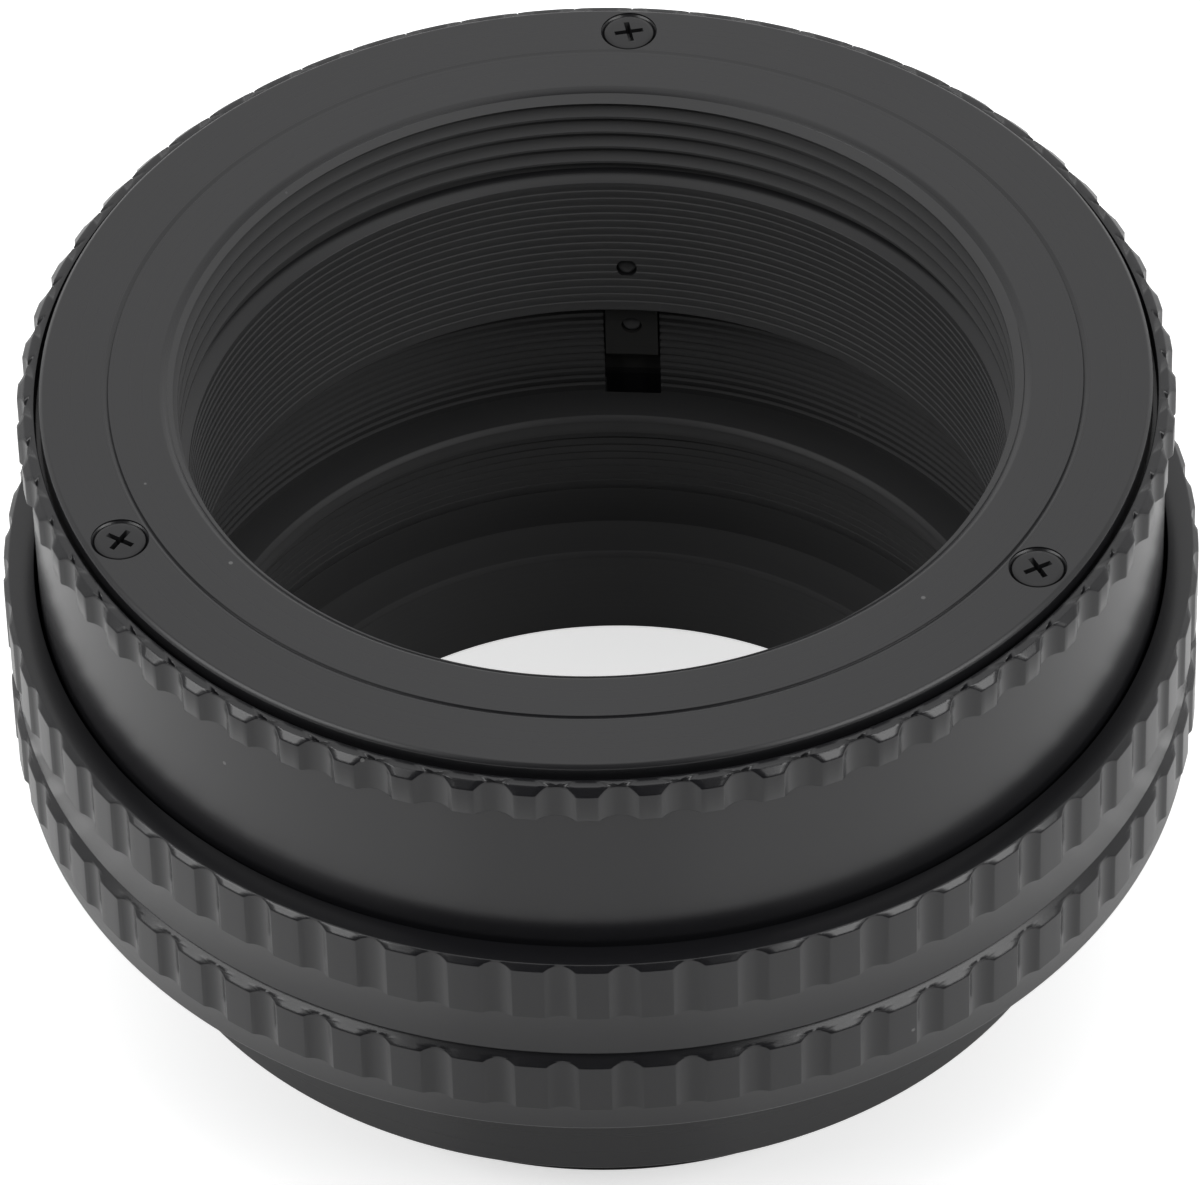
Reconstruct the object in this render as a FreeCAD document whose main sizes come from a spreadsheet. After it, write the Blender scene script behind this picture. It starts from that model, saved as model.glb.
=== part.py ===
# Focusing helicoid adapter: turning the focus grip moves the front mount along the optical axis.
# The frame's origin is the centre of the rear thread's end face, and +Z runs towards the front face.
# All lengths are in millimetres. The pieces are drawn fully extended, with the guide keys on +Y and -Y.
import FreeCAD, Part
import os
import Sketcher

doc = FreeCAD.newDocument("focusing_helicoid_adapter")

DIMENSIONS = {
    # motion and fits
    "travel": 7.0,
    "end_room": 0.3,
    "running_clearance": 0.1,
    "seat_clearance": 0.03,
    # front mount
    "front_thread_radius": 21.0,
    "front_thread_depth": 5.2,
    "front_thread_chamfer": 0.25,
    "front_thread_flare": 0.4,
    "tube_ledge": 0.8,
    "tube_ledge_drop": 0.37,
    "tube_wall": 1.3,
    "tube_chamfer": 0.15,
    "plate_thickness": 1.7,
    "plate_chamfer": 0.2,
    "plate_gap": 0.25,
    "face_line_inset": 3.3,
    "face_line_width": 0.24,
    "face_line_depth": 0.12,
    # front barrel
    "barrel_land_wall": 2.8,
    "barrel_relief_depth": 1.2,
    "barrel_land_length": 3.85,
    "barrel_top_thickness": 1.5,
    "rim_ridge": 0.46,
    "rim_wall": 0.88,
    "rim_drop": 0.6,
    "rim_height": 1.95,
    "rim_chamfer": 0.25,
    # rear thread and base cup
    "rear_thread_radius": 21.0,
    "rear_thread_length": 4.5,
    "rear_thread_chamfer": 0.5,
    "rear_thread_wall": 2.3,
    "rear_bore_chamfer": 0.6,
    "floor_thickness": 0.8,
    "seat_height": 2.4,
    "neck_height": 9.4,
    "neck_wall": 1.07,
    "neck_chamfer": 0.2,
    # guide sleeve
    "sleeve_wall": 1.0,
    "lip_reach": 1.0,
    "lip_height": 4.9,
    "lip_thickness": 1.0,
    "lip_chamfer": 0.25,
    "lip_room": 0.5,
    # helicoid sleeve, retaining ring and slip washers
    "helicoid_wall": 1.6,
    "helicoid_flange_thickness": 1.2,
    "helicoid_journal": 8.44,
    "helicoid_pocket_depth": 2.4,
    "retaining_ring_width": 0.7,
    "retaining_ring_height": 1.4,
    "spanner_slot_width": 1.2,
    "spanner_slot_depth": 0.7,
    "washer_thickness": 0.2,
    "washer_width": 0.6,
    # focus stop, with its turn in degrees
    "focus_turn": 279,
    "stop_screw_radius": 0.6,
    "stop_screw_reach": 0.6,
    "stop_screw_rise": 4.2,
    # focus grip
    "grip_drop": 1.2,
    "grip_wall": 1.25,
    "grip_ridge": 0.3,
    "grip_gap": 0.2,
    "grip_neck_gap": 0.2,
    "grip_edge_chamfer": 0.15,
    "grip_groove_depth": 0.25,
    "grip_groove_width": 0.25,
    "grip_smooth_low": 1.7,
    "grip_flutes_low": 2.9,
    "grip_smooth_high": 2.65,
    "grip_flutes_high": 3.18,
    "grip_top_chamfer": 0.3,
    # flutes
    "flute_count": 60,
    "flute_foot": 0.04,
    "flute_cutter_radius": 1.35,
    # guide keys
    "key_width": 2.7,
    "key_recess": 0.2,
    "key_length": 9.4,
    "key_tail": 4.9,
    "key_screw_radius": 0.5,
    "key_screw_high": 7.9,
    "key_screw_low": 2.0,
    # countersunk screws
    "screw_count": 3,
    "plate_screw_inset": 1.75,
    "plate_screw_head_radius": 1.3,
    "plate_screw_head_height": 0.6,
    "plate_screw_radius": 0.75,
    "grip_screw_inset": 1.6,
    "grip_screw_head_radius": 1.2,
    "grip_screw_head_height": 0.6,
    "grip_screw_radius": 0.65,
}

sheet = doc.addObject("Spreadsheet::Sheet", "Sizes")
for row, (alias, number) in enumerate(DIMENSIONS.items(), start=1):
    sheet.set("A%d" % row, alias)
    sheet.set("B%d" % row, str(number))
    sheet.setAlias("B%d" % row, alias)
doc.recompute()


class Size:
    """A length as an expression on the sheet, with its present value for a sketch's first draft."""

    def __init__(self, text, number):
        self.text = text
        self.number = number

    def __add__(self, other):
        return Size("(%s + %s)" % (self.text, other.text), self.number + other.number)

    def __sub__(self, other):
        return Size("(%s - %s)" % (self.text, other.text), self.number - other.number)

    def __mul__(self, factor):
        return Size("(%s * %s)" % (self.text, factor), self.number * factor)

    def __neg__(self):
        return self * -1


def size(alias):
    return Size("Sizes." + alias, DIMENSIONS[alias])


ZERO = Size("0", 0.0)
TWO = Size("2", 2)
end_room = size("end_room")
running = size("running_clearance")
seated = size("seat_clearance")

# Radii, from the front thread outwards
tube_bore = size("front_thread_radius") - size("tube_ledge")
tube_outer = size("front_thread_radius") + size("tube_wall")
sleeve_bore = tube_outer + running
sleeve_outer = sleeve_bore + size("sleeve_wall")
neck_bore = sleeve_outer + seated
neck_outer = neck_bore + size("neck_wall")
helicoid_bore = sleeve_outer + running
helicoid_outer = helicoid_bore + size("helicoid_wall")
barrel_land = helicoid_outer + running
barrel_outer = barrel_land + size("barrel_land_wall")
barrel_relief = barrel_land + size("barrel_relief_depth")
rim_outer = barrel_outer + size("rim_ridge")
plate_recess = rim_outer - size("rim_wall")
plate_outer = plate_recess - size("plate_gap")
grip_bore = barrel_outer + size("grip_gap")
grip_smooth = grip_bore + size("grip_wall")
grip_crest = grip_smooth + size("grip_ridge")
grip_groove = grip_smooth - size("grip_groove_depth")
grip_web_bore = neck_outer + size("grip_neck_gap")
helicoid_flange = grip_bore - running
retaining_outer = sleeve_outer + size("retaining_ring_width")
pocket_wall = retaining_outer + end_room
washer_outer = helicoid_bore + size("washer_width")
stop_screw_tip = sleeve_outer + size("stop_screw_reach")
stop_groove_floor = stop_screw_tip + running
lip_bore = tube_bore
cup_bore = lip_bore + size("lip_reach")
rear_bore = size("rear_thread_radius") - size("rear_thread_wall")
keyway_floor = tube_outer - running
key_outer = sleeve_outer - size("key_recess")
plate_screw_circle = plate_outer - size("plate_screw_inset")
grip_screw_circle = helicoid_flange - size("grip_screw_inset")

# Heights above the rear thread's end, from the base upwards
flange = size("rear_thread_length")
floor_top = flange + size("floor_thickness")
sleeve_seat = floor_top + size("seat_height")
lip_bottom = sleeve_seat + size("lip_height")
lip_top = lip_bottom + size("lip_thickness")
neck_top = flange + size("neck_height")
lower_washer_bottom = neck_top + seated
grip_bottom = neck_top - size("grip_drop")
web_top = lower_washer_bottom + size("washer_thickness") + seated
helicoid_flange_top = web_top + size("helicoid_flange_thickness")
pocket_floor = web_top + size("helicoid_journal")
stop_height = helicoid_flange_top + size("stop_screw_rise")
helicoid_top = pocket_floor + size("helicoid_pocket_depth")
upper_washer_bottom = pocket_floor + seated
retaining_bottom = upper_washer_bottom + size("washer_thickness") + seated
sleeve_top = retaining_bottom + size("retaining_ring_height")
barrel_bottom = helicoid_flange_top + end_room + size("travel")
barrel_land_top = barrel_bottom + size("barrel_land_length")
barrel_top_under = helicoid_top + end_room + size("travel")
plate_seat = barrel_top_under + size("barrel_top_thickness")
face = plate_seat + size("plate_thickness")
thread_floor = face - size("front_thread_depth")
rim_top = face - size("rim_drop")
rim_bottom = rim_top - size("rim_height")
tube_end = lip_top + size("lip_room") + size("travel")
key_bottom = tube_end - size("key_tail")
keyway_bottom = key_bottom - size("travel") - end_room
low_flutes_start = grip_bottom + size("grip_smooth_low")
low_flutes_end = low_flutes_start + size("grip_flutes_low")
groove_start = low_flutes_end + grip_crest - grip_groove
groove_end = groove_start + size("grip_groove_width")
high_flutes_start = groove_end + size("grip_smooth_high")
high_flutes_end = high_flutes_start + size("grip_flutes_high")
grip_top = high_flutes_end + size("grip_top_chamfer")

# Screw lengths, which stop short of the far side of the piece that each screw holds
plate_screw_length = size("plate_thickness") + size("barrel_top_thickness") - end_room
grip_screw_length = web_top - grip_bottom + size("helicoid_flange_thickness") - end_room


def new_body(name):
    body = doc.addObject("PartDesign::Body", name)
    body.Label = name
    return body


def origin_feature(body, role):
    return next(feature for feature in body.Origin.OriginFeatures if feature.Role == role)


def new_sketch(body, name, role, height=ZERO):
    """A sketch on one of the body's own origin planes, raised to a height along its normal."""
    sketch = body.newObject("Sketcher::SketchObject", name)
    sketch.AttachmentSupport = (origin_feature(body, role), "")
    sketch.MapMode = "FlatFace"
    sketch.setExpression("AttachmentOffset.Base.z", height.text)
    return sketch


def pin_point(sketch, edge, point, across, along):
    """Holds a point of an edge at sizes across and along from the sketch's origin."""
    for kind, length, axis in (("DistanceX", across, -2), ("DistanceY", along, -1)):
        if length is ZERO:
            sketch.addConstraint(Sketcher.Constraint("PointOnObject", edge, point, axis))
        else:
            index = sketch.addConstraint(Sketcher.Constraint(kind, -1, 1, edge, point, length.number))
            sketch.setExpression("Constraints[%d]" % index, length.text)


def closed_outline(sketch, corners):
    """Straight edges through the corners, each corner held by its own pair of sizes."""
    points = [FreeCAD.Vector(across.number, along.number, 0) for across, along in corners]
    for start, end in zip(points, points[1:] + points[:1]):
        sketch.addGeometry(Part.LineSegment(start, end), False)
    for edge in range(len(points)):
        sketch.addConstraint(Sketcher.Constraint("Coincident", edge, 2, (edge + 1) % len(points), 1))
    for edge, (across, along) in enumerate(corners):
        pin_point(sketch, edge, 1, across, along)


def circle(sketch, across, along, radius):
    sketch.addGeometry(Part.Circle(FreeCAD.Vector(across.number, along.number, 0),
                                   FreeCAD.Vector(0, 0, 1), radius.number), False)
    pin_point(sketch, 0, 3, across, along)
    index = sketch.addConstraint(Sketcher.Constraint("Radius", 0, radius.number))
    sketch.setExpression("Constraints[%d]" % index, radius.text)


def turned(name, corners):
    """A body turned about the optical axis from its half section of (radius, height) corners."""
    body = new_body(name)
    sketch = new_sketch(body, name + "_section", "XZ_Plane")
    closed_outline(sketch, corners)
    turn = body.newObject("PartDesign::Revolution", name + "_turn")
    turn.Profile = sketch
    turn.ReferenceAxis = (sketch, ["V_Axis"])
    turn.Angle = 360
    doc.recompute()
    return body


def must_cut(body, before, name):
    """Stops the build when a cut took nothing away."""
    doc.recompute()
    if body.Shape.Volume >= before:
        raise RuntimeError("%s cuts nothing" % name)


def pocket_up(body, name, sketch, height):
    """A pocket that runs up from its sketch."""
    before = body.Shape.Volume
    pocket = body.newObject("PartDesign::Pocket", name)
    pocket.Profile = sketch
    pocket.Type = 0
    pocket.Reversed = True
    pocket.setExpression("Length", height.text)
    must_cut(body, before, name)
    return pocket


def around(body, name, features, count, turn="360 deg"):
    """Repeats cuts evenly about the optical axis, over a full turn or a part of one."""
    before = body.Shape.Volume
    pattern = body.newObject("PartDesign::PolarPattern", name)
    pattern.Originals = features
    pattern.Axis = (origin_feature(body, "Z_Axis"), [""])
    pattern.setExpression("Angle", turn)
    pattern.setExpression("Occurrences", count.text)
    body.Tip = pattern
    must_cut(body, before, name)


def cut_flutes(body, name, wall, start, end):
    """Scalloped finger flutes round a raised band, almost down to the wall below it and open at its top."""
    sketch = new_sketch(body, name + "_cutter", "XY_Plane", start)
    cutter = size("flute_cutter_radius")
    circle(sketch, wall + size("flute_foot") + cutter, ZERO, cutter)
    flute = pocket_up(body, name + "_first", sketch, end - start)
    around(body, name, [flute], size("flute_count"))


def upright(upward):
    return FreeCAD.Rotation(FreeCAD.Vector(1, 0, 0), 0 if upward else 180)


def drilled(body, name, kind, sizes, reach, height, upward):
    """A cylinder or cone cut parallel to the axis on the +Y side, up or down from a height."""
    before = body.Shape.Volume
    cut = body.newObject("PartDesign::Subtractive" + kind, name)
    cut.AttachmentSupport = (origin_feature(body, "XY_Plane"), "")
    cut.MapMode = "FlatFace"
    cut.AttachmentOffset = FreeCAD.Placement(FreeCAD.Vector(), upright(upward))
    cut.setExpression("AttachmentOffset.Base.y", reach.text)
    cut.setExpression("AttachmentOffset.Base.z", height.text)
    for field, length in sizes.items():
        cut.setExpression(field, length.text)
    must_cut(body, before, name)
    return cut


def screw_hole(body, kind, reach, height, length, upward):
    """A round hole for the shank, a little wider and deeper than the screw."""
    return drilled(body, kind + "_hole", "Cylinder", {
        "Radius": size(kind + "_radius") + seated,
        "Height": length + running}, reach, height, upward)


def screw_sink(body, kind, reach, height, upward):
    """A countersink for the head."""
    return drilled(body, kind + "_sink", "Cone", {
        "Radius1": size(kind + "_head_radius") + running,
        "Radius2": size(kind + "_radius") + running,
        "Height": size(kind + "_head_height")}, reach, height, upward)


def countersunk_screws(name, kind, reach, height, length, upward):
    """Countersunk screws evenly about the axis, with their heads just inside the face at a height."""
    head_height = height + seated if upward else height - seated
    screws = []
    for number in range(1, DIMENSIONS["screw_count"] + 1):
        angle = "(90 deg + %d * 360 deg / Sizes.screw_count)" % number
        head = doc.addObject("Part::Cone", "%s_head_%d" % (kind, number))
        head.setExpression("Radius1", size(kind + "_head_radius").text)
        head.setExpression("Radius2", size(kind + "_radius").text)
        head.setExpression("Height", size(kind + "_head_height").text)
        shank = doc.addObject("Part::Cylinder", "%s_shank_%d" % (kind, number))
        shank.setExpression("Radius", size(kind + "_radius").text)
        shank.setExpression("Height", (length - seated).text)
        for piece in (head, shank):
            piece.Placement = FreeCAD.Placement(FreeCAD.Vector(), upright(upward))
            piece.setExpression("Placement.Base.x", "%s * cos(%s)" % (reach.text, angle))
            piece.setExpression("Placement.Base.y", "%s * sin(%s)" % (reach.text, angle))
            piece.setExpression("Placement.Base.z", head_height.text)
        screw = doc.addObject("Part::Fuse", "%s_%d" % (kind, number))
        screw.Base = head
        screw.Tool = shank
        screws.append(screw)
    return group(name, screws)


def radial_cylinder(name, radius, start, end, height):
    """A cylinder along +Y, from one distance off the axis to another."""
    piece = doc.addObject("Part::Cylinder", name)
    piece.Placement = FreeCAD.Placement(FreeCAD.Vector(), FreeCAD.Rotation(FreeCAD.Vector(1, 0, 0), -90))
    piece.setExpression("Radius", radius.text)
    piece.setExpression("Height", (end - start).text)
    piece.setExpression("Placement.Base.y", start.text)
    piece.setExpression("Placement.Base.z", height.text)
    return piece


def group(name, pieces):
    """Like pieces under one name, kept as separate solids."""
    compound = doc.addObject("Part::Compound", name)
    compound.Label = name
    compound.Links = pieces
    return compound


def make_base_cup():
    """The rear thread, its flange and the neck that holds the guide sleeve."""
    thread = size("rear_thread_radius")
    return turned("base_cup", [
        (rear_bore, ZERO),
        (thread - size("rear_thread_chamfer"), ZERO),
        (thread, size("rear_thread_chamfer")),
        (thread, flange),
        (neck_outer - size("neck_chamfer"), flange),
        (neck_outer, flange + size("neck_chamfer")),
        (neck_outer, neck_top),
        (neck_bore, neck_top),
        (neck_bore, sleeve_seat),
        (cup_bore, sleeve_seat),
        (cup_bore, floor_top),
        (rear_bore + size("rear_bore_chamfer"), floor_top),
        (rear_bore, floor_top - size("rear_bore_chamfer")),
    ])


def make_guide_sleeve():
    """The fixed tube that the focus grip turns on, with a lip inside and a keyway on each side."""
    chamfer = size("lip_chamfer")
    body = turned("guide_sleeve", [
        (cup_bore, sleeve_seat),
        (sleeve_outer, sleeve_seat),
        (sleeve_outer, sleeve_top),
        (sleeve_bore, sleeve_top),
        (sleeve_bore, lip_top),
        (lip_bore + chamfer, lip_top),
        (lip_bore, lip_top - chamfer),
        (lip_bore, lip_bottom),
        (cup_bore, lip_bottom),
    ])
    half_width = size("key_width") * 0.5 + running
    outside = sleeve_outer + end_room
    sketch = new_sketch(body, "keyway_cutter", "XY_Plane", keyway_bottom)
    closed_outline(sketch, [
        (-half_width, keyway_floor),
        (half_width, keyway_floor),
        (half_width, outside),
        (-half_width, outside),
    ])
    keyway = pocket_up(body, "keyway_first", sketch, sleeve_top - keyway_bottom)
    around(body, "keyways", [keyway], TWO)
    inside = sleeve_bore - running
    drill = new_sketch(body, "stop_screw_drill", "YZ_Plane", inside)
    circle(drill, ZERO, stop_height, size("stop_screw_radius") + seated)
    pocket_up(body, "stop_screw_hole", drill, outside - inside)
    return body


def make_front_mount():
    """The front plate with its inside thread, and the tube that carries the guide keys."""
    chamfer = size("tube_chamfer")
    thread = size("front_thread_radius")
    line = plate_outer - size("face_line_inset")
    half_line = size("face_line_width") * 0.5
    body = turned("front_mount", [
        (tube_bore + chamfer, tube_end),
        (tube_outer - chamfer, tube_end),
        (tube_outer, tube_end + chamfer),
        (tube_outer, plate_seat),
        (plate_outer, plate_seat),
        (plate_outer, face - size("plate_chamfer")),
        (plate_outer - size("plate_chamfer"), face),
        (line + half_line, face),
        (line, face - size("face_line_depth")),
        (line - half_line, face),
        (thread + size("front_thread_flare"), face),
        (thread, face - size("front_thread_chamfer")),
        (thread, thread_floor),
        (tube_bore, thread_floor - size("tube_ledge_drop")),
        (tube_bore, tube_end + chamfer),
    ])
    sink = screw_sink(body, "plate_screw", plate_screw_circle, face, upward=False)
    hole = screw_hole(body, "plate_screw", plate_screw_circle, face, plate_screw_length, upward=False)
    around(body, "plate_screw_seats", [sink, hole], size("screw_count"))
    sketch = new_sketch(body, "key_screw_drill", "XZ_Plane")
    circle(sketch, ZERO, key_bottom + size("key_screw_high"), size("key_screw_radius") + seated)
    before = body.Shape.Volume
    holes = body.newObject("PartDesign::Pocket", "key_screw_holes")
    holes.Profile = sketch
    holes.Type = 1
    holes.Midplane = True
    must_cut(body, before, "key_screw_holes")
    return body


def make_front_barrel():
    """The sliding barrel, with the inside helicoid at its foot and a fluted rim round the plate."""
    body = turned("front_barrel", [
        (barrel_land, barrel_bottom),
        (barrel_outer, barrel_bottom),
        (barrel_outer, rim_bottom),
        (rim_outer, rim_bottom),
        (rim_outer, rim_top - size("rim_chamfer")),
        (rim_outer - size("rim_chamfer"), rim_top),
        (plate_recess, rim_top),
        (plate_recess, plate_seat),
        (sleeve_bore, plate_seat),
        (sleeve_bore, barrel_top_under),
        (barrel_relief, barrel_top_under),
        (barrel_relief, barrel_land_top),
        (barrel_land, barrel_land_top),
    ])
    hole = screw_hole(body, "plate_screw", plate_screw_circle, face, plate_screw_length, upward=False)
    around(body, "plate_screw_threads", [hole], size("screw_count"))
    cut_flutes(body, "rim_flutes", barrel_outer, rim_bottom, rim_top)
    return body


def make_focus_grip():
    """The focus ring, with two fluted bands between smooth ones."""
    body = turned("focus_grip", [
        (grip_web_bore, grip_bottom),
        (grip_smooth - size("grip_edge_chamfer"), grip_bottom),
        (grip_smooth, grip_bottom + size("grip_edge_chamfer")),
        (grip_smooth, low_flutes_start),
        (grip_crest, low_flutes_start),
        (grip_crest, low_flutes_end),
        (grip_groove, groove_start),
        (grip_groove, groove_end),
        (grip_smooth, groove_end),
        (grip_smooth, high_flutes_start),
        (grip_crest, high_flutes_start),
        (grip_crest, high_flutes_end),
        (grip_crest - size("grip_top_chamfer"), grip_top),
        (grip_bore, grip_top),
        (grip_bore, web_top),
        (grip_web_bore, web_top),
    ])
    sink = screw_sink(body, "grip_screw", grip_screw_circle, grip_bottom, upward=True)
    hole = screw_hole(body, "grip_screw", grip_screw_circle, grip_bottom, grip_screw_length, upward=True)
    around(body, "grip_screw_seats", [sink, hole], size("screw_count"))
    cut_flutes(body, "low_flutes", grip_smooth, low_flutes_start, groove_start)
    cut_flutes(body, "high_flutes", grip_smooth, high_flutes_start, grip_top)
    return body


def cut_stop_groove(body):
    """The groove that the stop screw runs in, as long as the focus turn and round at both ends."""
    turn = "Sizes.focus_turn * 1 deg"
    half_width = size("stop_screw_radius") + running
    inside = helicoid_bore - running
    section = new_sketch(body, "stop_groove_section", "XZ_Plane")
    closed_outline(section, [
        (inside, stop_height - half_width),
        (stop_groove_floor, stop_height - half_width),
        (stop_groove_floor, stop_height + half_width),
        (inside, stop_height + half_width),
    ])
    before = body.Shape.Volume
    groove = body.newObject("PartDesign::Groove", "stop_groove")
    groove.Profile = section
    groove.ReferenceAxis = (section, ["V_Axis"])
    groove.setExpression("Angle", turn)
    must_cut(body, before, "stop_groove")
    end = new_sketch(body, "stop_groove_end_cutter", "YZ_Plane", inside)
    circle(end, ZERO, stop_height, half_width)
    first = pocket_up(body, "stop_groove_end", end, stop_groove_floor - inside)
    around(body, "stop_groove_ends", [first], TWO, turn)


def make_helicoid_sleeve():
    """The turning sleeve that carries the outside helicoid, held to the focus grip by its flange."""
    body = turned("helicoid_sleeve", [
        (helicoid_bore, web_top),
        (helicoid_flange, web_top),
        (helicoid_flange, helicoid_flange_top),
        (helicoid_outer, helicoid_flange_top),
        (helicoid_outer, helicoid_top),
        (pocket_wall, helicoid_top),
        (pocket_wall, pocket_floor),
        (helicoid_bore, pocket_floor),
    ])
    hole = screw_hole(body, "grip_screw", grip_screw_circle, grip_bottom, grip_screw_length, upward=True)
    around(body, "grip_screw_threads", [hole], size("screw_count"))
    cut_stop_groove(body)
    return body


def make_focus_stop_screw():
    """A headless screw in the guide sleeve's wall, whose tip stops the turn at the ends of its groove."""
    start = sleeve_bore + seated
    screw = doc.addObject("Part::Cylinder", "focus_stop_screw")
    screw.Label = "focus_stop_screw"
    screw.Placement = FreeCAD.Placement(FreeCAD.Vector(), FreeCAD.Rotation(FreeCAD.Vector(0, 1, 0), 90))
    screw.setExpression("Radius", size("stop_screw_radius").text)
    screw.setExpression("Height", (stop_screw_tip - start).text)
    screw.setExpression("Placement.Base.x", start.text)
    screw.setExpression("Placement.Base.z", stop_height.text)
    return screw


def make_slip_washer(name, bottom):
    top = bottom + size("washer_thickness")
    return turned(name, [
        (helicoid_bore, bottom),
        (washer_outer, bottom),
        (washer_outer, top),
        (helicoid_bore, top),
    ])


def make_retaining_ring():
    """The ring screwed on the guide sleeve's top, with two slots for a spanner."""
    body = turned("retaining_ring", [
        (neck_bore, retaining_bottom),
        (retaining_outer, retaining_bottom),
        (retaining_outer, sleeve_top),
        (neck_bore, sleeve_top),
    ])
    half_width = size("spanner_slot_width") * 0.5
    inside = neck_bore - end_room
    outside = retaining_outer + end_room
    depth = size("spanner_slot_depth")
    sketch = new_sketch(body, "spanner_slot_cutter", "XY_Plane", sleeve_top - depth)
    closed_outline(sketch, [
        (inside, -half_width),
        (outside, -half_width),
        (outside, half_width),
        (inside, half_width),
    ])
    slot = pocket_up(body, "spanner_slot_first", sketch, depth)
    around(body, "spanner_slots", [slot], TWO)
    return body


def make_guide_key(name):
    """A key that seats on the front tube and hangs below it into the sleeve's keyway, on the +Y side."""
    block = doc.addObject("Part::Box", name + "_block")
    block.setExpression("Length", size("key_width").text)
    block.setExpression("Width", (key_outer - tube_bore).text)
    block.setExpression("Height", size("key_length").text)
    block.setExpression("Placement.Base.x", (size("key_width") * -0.5).text)
    block.setExpression("Placement.Base.y", tube_bore.text)
    block.setExpression("Placement.Base.z", key_bottom.text)
    seat = doc.addObject("Part::Cylinder", name + "_seat")
    seat.setExpression("Radius", (tube_outer + seated).text)
    seat.setExpression("Height", face.text)
    hole_radius = size("key_screw_radius") + seated
    cutters = doc.addObject("Part::MultiFuse", name + "_cutters")
    cutters.Shapes = [
        seat,
        radial_cylinder(name + "_hole_high", hole_radius, tube_bore, sleeve_outer,
                        key_bottom + size("key_screw_high")),
        radial_cylinder(name + "_hole_low", hole_radius, tube_bore, sleeve_outer,
                        key_bottom + size("key_screw_low")),
    ]
    key = doc.addObject("Part::Cut", name)
    key.Label = name
    key.Base = block
    key.Tool = cutters
    return key


def make_key_screws():
    """Two screws for each key: one into the front tube, and a short one in the key's tail."""
    radius = size("key_screw_radius")
    tip_high = tube_bore + running
    tip_low = tube_outer + running
    head = key_outer - seated
    high = key_bottom + size("key_screw_high")
    low = key_bottom + size("key_screw_low")
    return group("key_screws", [
        radial_cylinder("key_screw_back_high", radius, tip_high, head, high),
        radial_cylinder("key_screw_back_low", radius, tip_low, head, low),
        radial_cylinder("key_screw_front_high", radius, -head, -tip_high, high),
        radial_cylinder("key_screw_front_low", radius, -head, -tip_low, low),
    ])


plate_screws = countersunk_screws("plate_screws", "plate_screw", plate_screw_circle,
                                  face, plate_screw_length, upward=False)
grip_screws = countersunk_screws("grip_screws", "grip_screw", grip_screw_circle,
                                 grip_bottom, grip_screw_length, upward=True)
guide_key_front = make_guide_key("guide_key_front")
half_turn = FreeCAD.Rotation(FreeCAD.Vector(0, 0, 1), 180)
guide_key_front.Placement = FreeCAD.Placement(FreeCAD.Vector(), half_turn)

pieces = [
    make_base_cup(),
    make_guide_sleeve(),
    make_front_mount(),
    make_front_barrel(),
    plate_screws,
    make_focus_grip(),
    make_helicoid_sleeve(),
    grip_screws,
    make_slip_washer("lower_slip_washer", lower_washer_bottom),
    make_slip_washer("upper_slip_washer", upper_washer_bottom),
    make_retaining_ring(),
    make_guide_key("guide_key_back"),
    guide_key_front,
    make_key_screws(),
    make_focus_stop_screw(),
]
doc.recompute()

for item in doc.Objects:
    if {"Invalid", "Error"} & set(item.State):
        raise RuntimeError("%s failed: %s" % (item.Name, item.State))
for piece in pieces:
    if piece.Shape.isNull() or not piece.Shape.isValid():
        raise RuntimeError("%s has no valid shape" % piece.Label)

os.makedirs("parts", exist_ok=True)
for piece in pieces:
    piece.Shape.exportStep("parts/%s.step" % piece.Label)
    print("%-20s %d solids, %9.2f mm3" % (piece.Label, len(piece.Shape.Solids), piece.Shape.Volume))
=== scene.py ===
"""Looks of the focusing helicoid adapter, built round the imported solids."""
import math

import bmesh
import bpy
from mathutils import Matrix, Vector


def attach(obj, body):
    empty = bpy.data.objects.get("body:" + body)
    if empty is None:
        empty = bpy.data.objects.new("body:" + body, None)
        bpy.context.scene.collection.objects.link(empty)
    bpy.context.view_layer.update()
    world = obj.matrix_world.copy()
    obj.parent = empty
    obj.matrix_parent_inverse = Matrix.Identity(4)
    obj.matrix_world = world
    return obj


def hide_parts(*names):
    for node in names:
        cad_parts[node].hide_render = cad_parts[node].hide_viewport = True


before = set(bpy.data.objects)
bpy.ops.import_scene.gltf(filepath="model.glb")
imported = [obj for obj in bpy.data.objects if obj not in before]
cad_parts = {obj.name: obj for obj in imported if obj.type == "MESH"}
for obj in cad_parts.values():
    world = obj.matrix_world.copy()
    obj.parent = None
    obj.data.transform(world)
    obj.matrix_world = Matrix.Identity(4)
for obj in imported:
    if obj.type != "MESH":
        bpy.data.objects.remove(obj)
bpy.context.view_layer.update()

MM = 0.001
TURN = 2 * math.pi

# Fineness of the meshes, the welding distance in metres and the other limits in millimetres
PLAIN_STEPS = 256
THREAD_STEPS = 180
SCREW_STEPS = 48
EASE_STEPS = 2
SHARP_ANGLE = math.radians(32)
WELD_DISTANCE = 1e-7
NEAR = 0.001
OUTWARD_LIMIT = 0.1

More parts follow.
